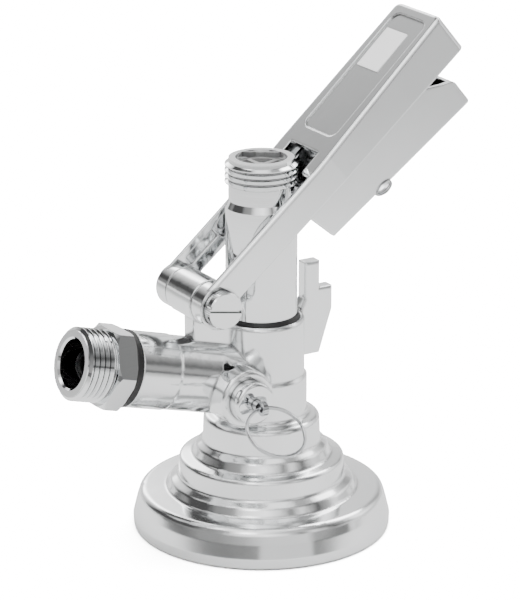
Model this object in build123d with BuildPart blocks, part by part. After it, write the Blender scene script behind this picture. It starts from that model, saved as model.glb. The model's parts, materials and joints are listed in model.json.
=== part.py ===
from build123d import *
import math
import os

# Keg coupler with a stepped bell base, a sliding probe, a raised lever and a release trigger.
# Frame: origin at the centre of the bell's rim, +Z up along the probe, +X towards the lever's grip,
# Y along the hinge pin. Sizes are in millimetres.

# ---- Fits -----------------------------------------------------------------------------------
press_gap = 0.02
running_gap = 0.05
free_gap = 0.3

# ---- Bell and body casting --------------------------------------------------------------------
rim_r = 41.0
rim_tuck = 0.2
skirt_low_z = 3.6
skirt_mid_r = 39.9
skirt_mid_z = 8.2
flange_r = 38.3
flange_z = 12.6
flange_round = 2.6
lower_foot_r = 29.0
lower_drum_r = 26.2
lower_drum_z = 23.4
upper_foot_r = 20.8
upper_drum_r = 18.4
upper_drum_z = 37.2
waist_r = 14.4
waist_z = 50.4
body_r = 13.6
body_z = 69.6
rim_round = 1.2
cast_round = 0.8
skirt_wall = 3.2
mouth_depth = 4.0
drum_wall = 2.8
seat_chamfer = 1.2
lug_count = 3
lug_depth = 2.6
lug_height = 3.0
lug_width = 12.0
lug_z = 4.6
chamber_r = 12.4
chamber_top_z = 57.5

# ---- Seals in the casting -----------------------------------------------------------------------
keg_seal_r = 17.0
keg_seal_thick = 2.9
seal_pocket = 0.6
seal_pocket_z = 17.6
rod_seal_z = 60.5
rod_seal_height = 2.2
rod_seal_depth = 1.2
wiper_z = 67.0
wiper_r = 12.2
wiper_top_z = 70.7

# ---- Probe --------------------------------------------------------------------------------------
rod_r = 11.3
rod_bottom_z = 42.0
rod_top_z = 105.8
neck_r = 10.3
neck_z = 107.9
outlet_thread_r = 11.455
thread_depth = 1.16
thread_pitch = 1.814
outlet_crest_count = 4
outlet_thread_z = 113.0
outlet_face_r = 10.25
outlet_top_z = 121.4
outlet_bore_r = 8.1
tube_r = 8.6
tube_bore_r = 5.6
tip_z = 24.0
tip_seal_lift = 1.0
tip_seal_height = 3.0
tube_seal_z = 36.0
seal_groove = 1.2
probe_travel = 21.7
trunnion_z = 101.0
trunnion_r = 2.2
trunnion_seat = 2.0
ball_r = 6.2
ball_z = 107.05
retainer_z = 115.6
retainer_height = 3.2
retainer_hub_r = 2.4
retainer_fin = 1.5
retainer_fins = 5

# ---- Lever hinge ----------------------------------------------------------------------------------
hinge_x = -23.0
hinge_z = 80.0
lever_rise = 40.0
lever_swing = 45.0
barrel_r = 7.2
barrel_half = 7.7
boss_r = 7.0
pin_r = 3.0
pin_head_r = 5.8
pin_head_thick = 3.7
pin_slot_width = 1.1
pin_slot_depth = 1.1
pin_slot_turn = -10.0
clip_thick = 0.9
web_half = 3.35
web_left_x = -26.2

# ---- Lever, in its own directions: s along it from the hinge, t across it ----------------------------
lever_length = 114.0
lever_half = 14.0
lever_tip_half = 12.2
lever_wall = 1.8
pocket_start_s = 7.5
pocket_end_s = 20.0
pocket_low_t = 1.2
pocket_high_t = 4.9
pocket_depth = 0.5
arm_top_t = 7.0
arm_bottom_t = -2.8
deck_start_s = 57.0
deck_bend_s = 50.0
deck_bend_t = 7.3
deck_end_t = 10.3
skirt_end_t = -3.8
ledge_start_s = 48.6
window_half = 8.15
tip_round = 2.4
edge_round = 1.2
cam_floor = 0.6
cam_steps = 6
recess_end_margin = 3.8
recess_length = 47.0
recess_half = 9.0
recess_round = 3.0
label_recess = 0.5
label_end_margin = 9.6
label_y = 1.6
label_length = 15.4
label_width = 11.6
label_thick = 0.25

# ---- Trigger, in the lever's directions -----------------------------------------------------------------
trigger_half = 10.2
trigger_wall = 1.7
trigger_start_s = 40.6
trigger_nose = 1.6
trigger_heel = 2.2
trigger_floor_s = 50.0
trigger_end_margin = 9.0
trigger_slope = 19.0
trigger_top_t = 1.6
trigger_shoulder_t = -9.0
trigger_heel_t = -16.4
trigger_toe_t = -20.6
trigger_pivot_s = 61.0
trigger_pivot_t = -1.1
trigger_pin_r = 1.6
latch_s = 50.8
latch_t = -10.2
latch_r = 1.5
screw_s = 65.4
screw_y = -5.0
screw_r = 3.0
screw_proud = 1.6
screw_boss = 6.0
screw_length = 9.0
screw_socket = 1.7
spring_end_margin = 15.0
sleeve_r = 2.6
sleeve_wall = 0.5
sleeve_bottom_t = -11.0
trigger_spring_r = 1.5
trigger_wire = 0.5

# ---- Gas inlet, d measured along its tilted axis from the probe's axis -------------------------------------
inlet_tilt = 15.0
inlet_z = 47.9
inlet_bore_r = 5.8
inlet_root_r = 11.75
inlet_boss_r = 12.0
inlet_step_d = 36.6
inlet_boss_d = 51.0
washer_thick = 2.4
washer_r = 12.2
hex_flats = 24.0
hex_d = 60.0
nipple_d = 69.9
nipple_thread_r = 11.455
nipple_crest_count = 5
nipple_mouth_r = 7.65
spigot_r = 8.6
spigot_length = 12.0
check_seat_d = 52.5
check_flange = 1.6
check_length = 9.0
check_r = 7.6

# ---- Relief valve, y measured along -Y ---------------------------------------------------------------------
relief_x = -15.6
relief_z = 50.0
relief_boss_r = 9.3
relief_boss_y = 18.4
relief_bore_r = 5.6
relief_seat_r = 2.6
relief_seat_y = 8.0
relief_seal_thick = 1.0
relief_cap_r = 6.8
relief_cap_y = 23.0
cap_thread = 3.0
stem_r = 1.7
stem_head_r = 4.6
stem_head_thick = 1.2
relief_spring_r = 3.5
relief_wire = 0.7
eye_y = 27.0
eye_r = 2.3
eye_half = 0.8
eye_hole_r = 1.2
ring_r = 9.3
ring_wire = 1.0
ring_lean = 56.0
vent_r = 1.8
vent_y = 11.0
vent_side = 2.5

# ---- Catch for the trigger's latch bar ------------------------------------------------------------------------
catch_half = 2.45
catch_inner_x = 14.8
catch_top_z = 85.0
catch_neck_x = 20.2
catch_ledge_z = 76.0
catch_nose_x = 24.9
catch_nose_z = 68.4
catch_foot_z = 54.2


# ---- Directions worked out from the sizes --------------------------------------------------------------------
def direction(angle):
    """Unit vector in the XZ plane, angle degrees above +X."""
    return Vector(math.cos(math.radians(angle)), 0, math.sin(math.radians(angle)))


hinge = Vector(hinge_x, 0, hinge_z)
along = direction(lever_rise)
across = direction(lever_rise + 90)
side_plane = Plane(origin=hinge, x_dir=along, z_dir=(0, -1, 0))
plan_plane = Plane(origin=hinge, x_dir=along, z_dir=across)

trigger_end_s = lever_length - trigger_end_margin
trigger_crown_s = trigger_end_s - trigger_slope
spring_s = lever_length - spring_end_margin
recess_end_s = lever_length - recess_end_margin
recess_start_s = recess_end_s - recess_length
label_s = lever_length - label_end_margin - label_length / 2

inlet_axis = direction(180 - inlet_tilt)
inlet_start = Vector(0, 0, inlet_z)
inlet_side = Plane(origin=inlet_start, x_dir=direction(90 - inlet_tilt), z_dir=(0, -1, 0))

relief_start = Vector(relief_x, 0, relief_z)
relief_side = Plane(origin=relief_start, x_dir=(0, 0, 1), z_dir=(1, 0, 0))

inlet_turn = Axis(inlet_start, inlet_axis)
relief_turn = Axis(relief_start, (0, -1, 0))


def profile(plane, points, radii=0):
    """Closed outline on a plane, with one fillet radius or one for each corner."""
    with BuildSketch(plane) as outline:
        with BuildLine():
            FilletPolyline(*points, radius=radii, close=True)
        make_face()
    return outline.sketch


def ring_profile(plane, inner, outer, low, high, rounding):
    """Rounded rectangle between two radii and two heights, for a seal or a ring."""
    corners = [(inner, low), (outer, low), (outer, high), (inner, high)]
    return profile(plane, corners, rounding)


def thread_points(crest_r, first, crests):
    """Outline of a run of thread crests with narrow flats, from the first one up."""
    points = []
    for number in range(crests):
        foot = first + number * thread_pitch
        points.append((crest_r - thread_depth, foot))
        points.append((crest_r, foot + thread_pitch * 0.36))
        points.append((crest_r, foot + thread_pitch * 0.56))
        points.append((crest_r - thread_depth, foot + thread_pitch * 0.92))
    return points


def deck_top(s):
    """Height of the lever's top face above the hinge line at a distance along the lever."""
    rise = (deck_end_t - deck_bend_t) / (lever_length - deck_bend_s)
    return deck_bend_t + rise * (s - deck_bend_s)


def half_width(s):
    """Half of the lever's width at a distance along it: parallel arms, then a taper to the tip."""
    share = max(0, s - deck_start_s) / (lever_length - deck_start_s)
    return lever_half - share * (lever_half - lever_tip_half)


def trunnion_place(swing):
    """Place of the trunnion in the lever's directions once the lever has swung down."""
    drop = probe_travel * swing / lever_swing
    rise = math.radians(lever_rise - swing)
    x, z = -hinge_x, trunnion_z - hinge_z - drop
    return (x * math.cos(rise) + z * math.sin(rise), z * math.cos(rise) - x * math.sin(rise))


def cam_slot(plane):
    """Slot that the trunnion needs in a lever arm, as short straight slots between its places."""
    with BuildSketch(plane) as slot:
        for step in range(cam_steps):
            start = Vector(*trunnion_place(lever_swing * step / cam_steps))
            end = Vector(*trunnion_place(lever_swing * (step + 1) / cam_steps))
            middle = (start + end) / 2
            turn = math.degrees(math.atan2(end.Y - start.Y, end.X - start.X))
            with Locations((middle.X, middle.Y)):
                SlotCenterToCenter((end - start).length, 2 * (trunnion_r + free_gap), rotation=turn)
    return slot.sketch


# ---- Body casting: bell, drums, body, web, barrel, inlet boss, relief housing and catch ---------------------
drum_bore_r = lower_drum_r - drum_wall
drum_roof_z = lower_drum_z - drum_wall
upper_bore_r = upper_drum_r - drum_wall
guide_r = rod_r + running_gap
bell_outline = [
    ((0, 0), 0),
    ((rim_r - rim_tuck, 0), 1.0),
    ((rim_r, skirt_low_z), 0),
    ((skirt_mid_r, skirt_mid_z), 0),
    ((flange_r + 0.3, flange_z), flange_round),
    ((lower_foot_r + 1.4, flange_z + 0.5), 0.9),
    ((lower_foot_r, flange_z + 3.1), 1.2),
    ((lower_drum_r + 0.3, flange_z + 4.6), 1.0),
    ((lower_drum_r, lower_drum_z), 1.3),
    ((upper_foot_r + 1.3, lower_drum_z + 0.9), 1.0),
    ((upper_foot_r, lower_drum_z + 3.9), 1.2),
    ((upper_drum_r + 0.3, lower_drum_z + 5.4), 1.0),
    ((upper_drum_r, upper_drum_z), 1.7),
    ((waist_r, upper_drum_z + 0.6), 1.6),
    ((waist_r, waist_z), 0.3),
    ((body_r, waist_z + 0.8), 0.3),
    ((body_r, body_z), rim_round),
    ((0, body_z), 0),
]
bell_hollow = [
    (0, -1),
    (rim_r - skirt_wall, -1),
    (rim_r - skirt_wall, mouth_depth),
    (flange_r - skirt_wall, flange_z - drum_wall),
    (drum_bore_r + seat_chamfer, flange_z - drum_wall),
    (drum_bore_r, flange_z - drum_wall + seat_chamfer),
    (drum_bore_r, seal_pocket_z),
    (drum_bore_r + seal_pocket, seal_pocket_z),
    (drum_bore_r + seal_pocket, drum_roof_z),
    (upper_bore_r, drum_roof_z),
    (upper_bore_r, upper_drum_z - drum_wall),
    (chamber_r, upper_drum_z),
    (chamber_r, chamber_top_z),
    (guide_r, chamber_top_z + 1),
    (guide_r, rod_seal_z),
    (guide_r + rod_seal_depth, rod_seal_z),
    (guide_r + rod_seal_depth, rod_seal_z + rod_seal_height),
    (guide_r, rod_seal_z + rod_seal_height),
    (guide_r, wiper_z),
    (wiper_r, wiper_z),
    (wiper_r, body_z + 1),
    (0, body_z + 1),
]
web_outline = [
    (web_left_x, relief_z),
    (-waist_r / 2, relief_z),
    (-waist_r / 2, body_z - 1),
    (-body_r + 1.0, body_z - 0.2),
    (hinge_x + barrel_r - 0.2, hinge_z - 1.5),
    (hinge_x, hinge_z),
    (web_left_x, hinge_z),
]
catch_outline = [
    (waist_r - 1.5, catch_foot_z),
    (catch_neck_x, catch_foot_z),
    (catch_nose_x, catch_nose_z),
    (catch_nose_x, catch_ledge_z),
    (catch_neck_x, catch_ledge_z),
    (catch_neck_x, catch_top_z),
    (catch_inner_x, catch_top_z),
    (catch_inner_x, body_z + 3.5),
    (body_r - 0.8, body_z - 1),
]
with BuildPart() as web:
    extrude(profile(Plane.XZ, web_outline), amount=web_half, both=True)
    fillet(web.edges().filter_by(Axis.Y, reverse=True), cast_round)

with BuildPart() as catch:
    extrude(profile(Plane.XZ, catch_outline), amount=catch_half, both=True)
    fillet(catch.edges().filter_by(Axis.Y, reverse=True), cast_round)

with BuildPart() as barrel:
    with BuildSketch(side_plane):
        Circle(barrel_r)
    extrude(amount=barrel_half, both=True)
    fillet(barrel.edges().filter_by(GeomType.CIRCLE), cast_round / 2)

with BuildPart() as body_casting:
    revolve(profile(Plane.XZ, [p for p, r in bell_outline], [r for p, r in bell_outline]))
    add(web.part)
    add(catch.part)
    add(barrel.part)
    inlet_outline = [
        (0, 0),
        (inlet_root_r, 0),
        (inlet_root_r, inlet_step_d),
        (inlet_boss_r, inlet_step_d + 0.8),
        (inlet_boss_r, inlet_boss_d),
        (0, inlet_boss_d),
    ]
    revolve(profile(inlet_side, inlet_outline), axis=inlet_turn)
    relief_outline = [(0, 0), (relief_boss_r, 0), (relief_boss_r, relief_boss_y), (0, relief_boss_y)]
    revolve(profile(relief_side, relief_outline, [0, 0, 1.2, 0]), axis=relief_turn)
    revolve(profile(Plane.XZ, bell_hollow), mode=Mode.SUBTRACT)
    with BuildSketch(Plane.XY.offset(lug_z)):
        with PolarLocations(rim_r - skirt_wall - lug_depth / 2 + 0.6, lug_count, start_angle=60):
            Rectangle(lug_depth + 1.2, lug_width)
    extrude(amount=lug_height)
    inlet_hollow = [
        (0, chamber_r - 3),
        (inlet_bore_r, chamber_r - 3),
        (inlet_bore_r, inlet_boss_d - spigot_length),
        (spigot_r, inlet_boss_d - spigot_length),
        (spigot_r, inlet_boss_d + 1),
        (0, inlet_boss_d + 1),
    ]
    revolve(profile(inlet_side, inlet_hollow), axis=inlet_turn, mode=Mode.SUBTRACT)
    relief_hollow = [
        (0, 3),
        (relief_seat_r, 3),
        (relief_seat_r, relief_seat_y),
        (relief_bore_r, relief_seat_y),
        (relief_bore_r, relief_boss_y + 1),
        (0, relief_boss_y + 1),
    ]
    revolve(profile(relief_side, relief_hollow), axis=relief_turn, mode=Mode.SUBTRACT)
    with BuildSketch(Plane.XY.offset(relief_z)):
        with Locations((relief_x - vent_side, -vent_y)):
            Circle(vent_r)
    extrude(amount=relief_boss_r + 2, mode=Mode.SUBTRACT)
    with BuildSketch(side_plane):
        Circle(pin_r + press_gap)
    extrude(amount=barrel_half + 1, both=True, mode=Mode.SUBTRACT)
    body_casting.part.label = "body_casting"

# ---- Seals in the casting ---------------------------------------------------------------------------------
with BuildPart() as keg_seal:
    seal_low = drum_roof_z - keg_seal_thick
    revolve(ring_profile(Plane.XZ, keg_seal_r, drum_bore_r + seal_pocket, seal_low, drum_roof_z, 0.5))
    keg_seal.part.label = "keg_seal"

with BuildPart() as rod_seal:
    seal_high = rod_seal_z + rod_seal_height
    revolve(ring_profile(Plane.XZ, guide_r, guide_r + rod_seal_depth, rod_seal_z, seal_high, 0.5))
    rod_seal.part.label = "rod_seal"

with BuildPart() as wiper_seal:
    wiper_outline = [
        (guide_r, wiper_z),
        (wiper_r, wiper_z),
        (wiper_r, wiper_top_z - 0.9),
        (wiper_r - 0.5, wiper_top_z),
        (guide_r, wiper_top_z),
    ]
    revolve(profile(Plane.XZ, wiper_outline))
    wiper_seal.part.label = "wiper_seal"

# ---- Hinge pin with a slotted head, and its clip ----------------------------------------------------------
head_start = lever_half + running_gap
with BuildPart() as hinge_pin:
    with BuildSketch(side_plane.offset(-lever_half - clip_thick - 0.6)):
        Circle(pin_r)
    extrude(amount=lever_half + clip_thick + 0.6 + head_start)
    with BuildSketch(side_plane.offset(head_start)):
        Circle(pin_head_r)
    extrude(amount=pin_head_thick)
    chamfer(hinge_pin.edges().filter_by(GeomType.CIRCLE).sort_by(Axis.Y)[0], 0.3)
    with BuildSketch(Plane(origin=hinge, x_dir=(1, 0, 0), z_dir=(0, -1, 0)).offset(head_start + pin_head_thick)):
        Rectangle(2 * pin_head_r + 1, pin_slot_width, rotation=pin_slot_turn)
    extrude(amount=-pin_slot_depth, mode=Mode.SUBTRACT)
    hinge_pin.part.label = "hinge_pin"

with BuildPart() as hinge_clip:
    with BuildSketch(side_plane.offset(-lever_half - clip_thick - 0.1)):
        Circle(pin_r + 1.8)
        Circle(pin_r + press_gap, mode=Mode.SUBTRACT)
    extrude(amount=clip_thick)
    hinge_clip.part.label = "hinge_clip"

# ---- Gas inlet: hex nipple, washer and check valve --------------------------------------------------------
hex_start = inlet_boss_d + washer_thick
with BuildPart() as inlet_washer:
    ring = ring_profile(inlet_side, spigot_r + press_gap, washer_r, inlet_boss_d, hex_start, 0.3)
    revolve(ring, axis=inlet_turn)
    inlet_washer.part.label = "inlet_washer"

hex_r = hex_flats / math.sqrt(3)
hex_outline = [
    (0, hex_start),
    (hex_flats / 2 + 0.4, hex_start),
    (hex_r, hex_start + 0.9),
    (hex_r, hex_d - 0.9),
    (hex_flats / 2 + 0.4, hex_d),
    (0, hex_d),
]
nipple_root_r = nipple_thread_r - thread_depth
nipple_outline = [
    (0, inlet_boss_d - spigot_length + free_gap),
    (spigot_r - press_gap, inlet_boss_d - spigot_length + free_gap),
    (spigot_r - press_gap, hex_start + 1),
    (nipple_root_r, hex_start + 1),
    *thread_points(nipple_thread_r, nipple_d - 0.3 - nipple_crest_count * thread_pitch, nipple_crest_count),
    (nipple_root_r, nipple_d),
    (0, nipple_d),
]
nipple_hollow = [
    (0, inlet_boss_d - spigot_length),
    (inlet_bore_r - 0.8, inlet_boss_d - spigot_length),
    (inlet_bore_r - 0.8, check_seat_d),
    (nipple_mouth_r, check_seat_d),
    (nipple_mouth_r, nipple_d - 0.6),
    (nipple_mouth_r + 0.6, nipple_d + 0.001),
    (0, nipple_d + 0.001),
]
with BuildPart() as inlet_nipple:
    with BuildSketch(Plane(inlet_start + inlet_axis * hex_start, x_dir=inlet_side.x_dir, z_dir=inlet_axis)):
        RegularPolygon(hex_flats / 2, 6, major_radius=False, rotation=30)
    extrude(amount=hex_d - hex_start)
    revolve(profile(inlet_side, hex_outline), axis=inlet_turn, mode=Mode.INTERSECT)
    revolve(profile(inlet_side, nipple_outline), axis=inlet_turn)
    revolve(profile(inlet_side, nipple_hollow), axis=inlet_turn, mode=Mode.SUBTRACT)
    inlet_nipple.part.label = "inlet_nipple"

check_outline = [
    (check_r - 1.4, check_seat_d + check_flange),
    (check_r - 2.3, check_seat_d - 1),
    (0.3, check_seat_d - check_length + 0.2),
    (0.3, check_seat_d - check_length),
    (1.4, check_seat_d - check_length),
    (inlet_bore_r - 1.1, check_seat_d - 1.5),
    (inlet_bore_r - 1.1, check_seat_d),
    (check_r, check_seat_d),
    (check_r, check_seat_d + check_flange),
]
with BuildPart() as gas_check:
    revolve(profile(inlet_side, check_outline), axis=inlet_turn)
    gas_check.part.label = "gas_check"

# ---- Relief valve: cap, stem, spring, seal and pull ring --------------------------------------------------
stem_head_y = relief_seat_y + relief_seal_thick + 0.02
spring_low_y = stem_head_y + stem_head_thick
cap_inner_y = relief_boss_y - cap_thread
with BuildPart() as relief_cap:
    cap_outline = [
        (stem_r + running_gap, cap_inner_y),
        (relief_bore_r - press_gap, cap_inner_y),
        (relief_bore_r - press_gap, relief_boss_y),
        (relief_cap_r, relief_boss_y),
        (relief_cap_r, relief_cap_y),
        (stem_r + running_gap, relief_cap_y),
    ]
    revolve(profile(relief_side, cap_outline, [0, 0, 0, 0, 1.1, 0]), axis=relief_turn)
    relief_cap.part.label = "relief_cap"

eye = relief_start + Vector(0, -eye_y, 0)
eye_plane = Plane(origin=eye, x_dir=(0, -1, 0), z_dir=(1, 0, 0))
with BuildPart() as relief_stem:
    stem_outline = [
        (0, stem_head_y),
        (stem_head_r, stem_head_y),
        (stem_head_r, spring_low_y),
        (stem_r, spring_low_y),
        (stem_r, eye_y - 1.6),
        (0, eye_y - 1.6),
    ]
    revolve(profile(relief_side, stem_outline), axis=relief_turn)
    with BuildSketch(eye_plane):
        Circle(eye_r)
    extrude(amount=eye_half, both=True)
    with BuildSketch(eye_plane):
        Circle(eye_hole_r)
    extrude(amount=2 * stem_r, both=True, mode=Mode.SUBTRACT)
    relief_stem.part.label = "relief_stem"

with BuildPart() as relief_seal:
    seal = ring_profile(relief_side, 0.8, stem_head_r - 0.3, relief_seat_y + 0.02, stem_head_y, 0.2)
    revolve(seal, axis=relief_turn)
    relief_seal.part.label = "relief_seal"


def coil(start, axis, length, radius, wire, turns):
    """Compression spring as a round wire swept along a helix."""
    inner = length - wire
    path = Helix(inner / turns, inner, radius, center=start + axis * (wire / 2), direction=axis)
    section = Plane(origin=path @ 0, z_dir=path % 0)
    return path, section


relief_coil, relief_section = coil(
    relief_start + Vector(0, -spring_low_y - 0.05, 0),
    Vector(0, -1, 0),
    cap_inner_y - spring_low_y - 0.1,
    relief_spring_r,
    relief_wire,
    4,
)
with BuildPart() as relief_spring:
    with BuildSketch(relief_section):
        Circle(relief_wire / 2)
    sweep(path=relief_coil)
    relief_spring.part.label = "relief_spring"

lean = math.radians(ring_lean)
ring_out = Vector(0, -math.sin(lean), -math.cos(lean))
ring_normal = Vector(0, -math.cos(lean), math.sin(lean))
ring_centre = eye + ring_out * ring_r
with BuildPart() as pull_ring:
    section = Plane(origin=ring_centre, x_dir=ring_out, z_dir=(1, 0, 0))
    with BuildSketch(section):
        with Locations((ring_r, 0)):
            RectangleRounded(ring_wire, 2 * ring_wire - 0.1, ring_wire / 2 - 0.02)
    revolve(axis=Axis(ring_centre, ring_normal))
    pull_ring.part.label = "pull_ring"

# ---- Probe: tube with the outlet thread, trunnions, seals, ball and star retainer ------------------------
seat_edge_z = ball_z - 3.0
tube_outline = [
    (tube_bore_r, tip_z),
    (tube_r, tip_z),
    (tube_r, tip_z + tip_seal_lift),
    (tube_r - seal_groove, tip_z + tip_seal_lift),
    (tube_r - seal_groove, tip_z + tip_seal_lift + tip_seal_height),
    (tube_r, tip_z + tip_seal_lift + tip_seal_height),
    (tube_r, tube_seal_z),
    (tube_r - seal_groove, tube_seal_z),
    (tube_r - seal_groove, tube_seal_z + rod_seal_height),
    (tube_r, tube_seal_z + rod_seal_height),
    (tube_r, rod_bottom_z),
    (rod_r, rod_bottom_z + 2),
    (rod_r, rod_top_z),
    (neck_r, neck_z),
    *thread_points(outlet_thread_r, outlet_thread_z, outlet_crest_count),
    (outlet_face_r, outlet_top_z - 0.4),
    (outlet_face_r, outlet_top_z),
    (outlet_bore_r, outlet_top_z),
    (outlet_bore_r, ball_z),
    (tube_bore_r, seat_edge_z),
]
with BuildPart() as probe_tube:
    revolve(profile(Plane.XZ, tube_outline))
    with BuildSketch(Plane(origin=(0, 0, trunnion_z), x_dir=(1, 0, 0), z_dir=(0, -1, 0))):
        Circle(trunnion_r + press_gap)
    extrude(amount=rod_r + 1, both=True, mode=Mode.SUBTRACT)
    with BuildSketch(Plane.XY.offset(trunnion_z - 2 * trunnion_r)):
        Circle(rod_r - trunnion_seat)
        Circle(tube_bore_r, mode=Mode.SUBTRACT)
    extrude(amount=3 * trunnion_r)
    probe_tube.part.label = "probe_tube"

trunnion_end = lever_half - cam_floor - free_gap
with BuildPart() as trunnion_pins:
    for start in (rod_r - trunnion_seat, -trunnion_end):
        with BuildSketch(Plane(origin=(0, 0, trunnion_z), x_dir=(1, 0, 0), z_dir=(0, -1, 0)).offset(start)):
            Circle(trunnion_r)
        extrude(amount=trunnion_end - rod_r + trunnion_seat)
    trunnion_pins.part.label = "trunnion_pins"

with BuildPart() as tip_seal:
    low = tip_z + tip_seal_lift
    revolve(ring_profile(Plane.XZ, tube_r - seal_groove, tube_r + 1, low, low + tip_seal_height, 0.6))
    tip_seal.part.label = "tip_seal"

with BuildPart() as tube_seal:
    high = tube_seal_z + rod_seal_height
    revolve(ring_profile(Plane.XZ, tube_r - seal_groove, tube_r + 0.6, tube_seal_z, high, 0.6))
    tube_seal.part.label = "tube_seal"

with BuildPart() as beer_ball:
    with Locations((0, 0, ball_z)):
        Sphere(ball_r)
    beer_ball.part.label = "beer_ball"

with BuildPart() as ball_retainer:
    with BuildSketch(Plane.XY.offset(retainer_z)):
        Circle(outlet_bore_r - press_gap)
        Circle(outlet_bore_r - press_gap - 0.8, mode=Mode.SUBTRACT)
        Circle(retainer_hub_r)
        with PolarLocations(outlet_bore_r / 2, retainer_fins, start_angle=20):
            Rectangle(outlet_bore_r - 1, retainer_fin)
    extrude(amount=retainer_height)
    ball_retainer.part.label = "ball_retainer"

# ---- Lever -------------------------------------------------------------------------------------------------
lever_outline = [
    (0, arm_top_t),
    (deck_bend_s, deck_bend_t),
    (lever_length, deck_end_t),
    (lever_length, skirt_end_t),
    (0, arm_bottom_t),
]
taper = [
    (-2 * boss_r, -lever_half),
    (deck_start_s, -lever_half),
    (lever_length + 1, -half_width(lever_length + 1)),
    (lever_length + 1, half_width(lever_length + 1)),
    (deck_start_s, lever_half),
    (-2 * boss_r, lever_half),
]
inner_taper = [
    (-2 * boss_r, lever_wall - lever_half),
    (deck_start_s, lever_wall - lever_half),
    (lever_length, lever_wall - lever_tip_half),
    (lever_length, lever_tip_half - lever_wall),
    (deck_start_s, lever_half - lever_wall),
    (-2 * boss_r, lever_half - lever_wall),
]
channel_outline = [
    (-2 * boss_r, -3 * boss_r),
    (lever_length - lever_wall, -3 * boss_r),
    (lever_length - lever_wall, deck_top(lever_length - lever_wall) - lever_wall),
    (deck_bend_s, deck_bend_t - lever_wall),
    (ledge_start_s, deck_bend_t - lever_wall),
    (ledge_start_s, 2 * boss_r),
    (-2 * boss_r, 2 * boss_r),
]
with BuildPart() as lever_channel:
    extrude(profile(side_plane, channel_outline), amount=lever_half, both=True)
    extrude(profile(plan_plane, inner_taper), amount=4 * boss_r, both=True, mode=Mode.INTERSECT)

deck_tilt = math.degrees(math.atan2(deck_end_t - deck_bend_t, lever_length - deck_bend_s))
deck_point = hinge + along * deck_bend_s + across * deck_bend_t
deck_plane = Plane(
    origin=deck_point, x_dir=direction(lever_rise + deck_tilt), z_dir=direction(lever_rise + deck_tilt + 90)
)
inner_half = lever_half - lever_wall
recess_middle = (recess_start_s + recess_end_s) / 2 - deck_bend_s
with BuildPart() as lever:
    extrude(profile(side_plane, lever_outline), amount=lever_half, both=True)
    extrude(profile(plan_plane, taper), amount=4 * boss_r, both=True, mode=Mode.INTERSECT)
    tip_edges = [e for e in lever.edges() if (e.center() - hinge).dot(along) > lever_length - 1]
    upright = [e for e in tip_edges if abs((e % 0.5).dot(Vector(0, 1, 0))) < 0.5]
    fillet(upright, tip_round)
    top_edges = [e for e in lever.edges() if (e.center() - hinge).dot(across) > arm_top_t - 0.2]
    fillet(top_edges, edge_round)
    add(lever_channel.part, mode=Mode.SUBTRACT)
    with BuildSketch(side_plane):
        Circle(boss_r)
    extrude(amount=lever_half, both=True)
    with BuildSketch(side_plane):
        Rectangle(4 * boss_r, 4 * boss_r)
    extrude(amount=barrel_half + free_gap, both=True, mode=Mode.SUBTRACT)
    with BuildSketch(plan_plane):
        with Locations(((ledge_start_s + deck_start_s) / 2, 0)):
            Rectangle(deck_start_s - ledge_start_s + 0.01, 2 * window_half)
    extrude(amount=3 * boss_r, both=True, mode=Mode.SUBTRACT)
    with BuildSketch(deck_plane.offset(-label_recess)):
        with Locations((recess_middle, 0)):
            RectangleRounded(recess_end_s - recess_start_s, 2 * recess_half, recess_round)
    extrude(amount=2, mode=Mode.SUBTRACT)
    with BuildSketch(side_plane):
        Circle(pin_r + running_gap)
    extrude(amount=lever_half + 1, both=True, mode=Mode.SUBTRACT)
    for start in (inner_half - 0.5, cam_floor - lever_half):
        slot_depth = lever_half - cam_floor - inner_half + 0.5
        extrude(cam_slot(side_plane.offset(start)), amount=slot_depth, dir=(0, -1, 0), mode=Mode.SUBTRACT)
        with BuildSketch(side_plane.offset(start)):
            with Locations((trigger_pivot_s, trigger_pivot_t)):
                Circle(trigger_pin_r + press_gap)
        extrude(amount=lever_half - cam_floor - inner_half + 0.5, mode=Mode.SUBTRACT)
    with BuildSketch(side_plane):
        with Locations(((pocket_start_s + pocket_end_s) / 2, (pocket_low_t + pocket_high_t) / 2)):
            RectangleRounded(pocket_end_s - pocket_start_s, pocket_high_t - pocket_low_t, 0.8)
    extrude(amount=inner_half + pocket_depth, both=True, mode=Mode.SUBTRACT)
    lever.part.label = "lever"

with BuildPart() as label_plate:
    with BuildSketch(deck_plane.offset(-label_recess)):
        with Locations((label_s - deck_bend_s, label_y)):
            RectangleRounded(label_length, label_width, 0.4)
    extrude(amount=label_thick)
    label_plate.part.label = "label_plate"

# ---- Trigger with its pin, latch bar, stop screw and spring --------------------------------------------------
trigger_outline = [
    ((trigger_start_s + trigger_nose, trigger_top_t), 0.5),
    ((trigger_crown_s, trigger_top_t), 2.0),
    ((trigger_end_s - 3.4, trigger_shoulder_t), 1.0),
    ((trigger_end_s, trigger_shoulder_t - 2.0), 2.0),
    ((trigger_end_s, trigger_toe_t), 1.0),
    ((trigger_start_s + trigger_heel, trigger_heel_t), 0.6),
    ((trigger_start_s, arm_bottom_t - 2), 0),
]
floor_rise = (trigger_toe_t - trigger_heel_t) / (trigger_end_s - trigger_start_s - trigger_heel)
trigger_hollow = [
    (trigger_floor_s, trigger_heel_t + trigger_wall + floor_rise * (trigger_floor_s - trigger_start_s)),
    (trigger_end_s - trigger_wall, trigger_toe_t + trigger_wall),
    (trigger_end_s - trigger_wall, 2 * boss_r),
    (trigger_start_s - 5, 2 * boss_r),
    (trigger_start_s - 5, 2 * trigger_toe_t),
    (trigger_floor_s, 2 * trigger_toe_t),
]
screw_start_t = trigger_heel_t + floor_rise * (screw_s - trigger_start_s) - screw_proud
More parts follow.
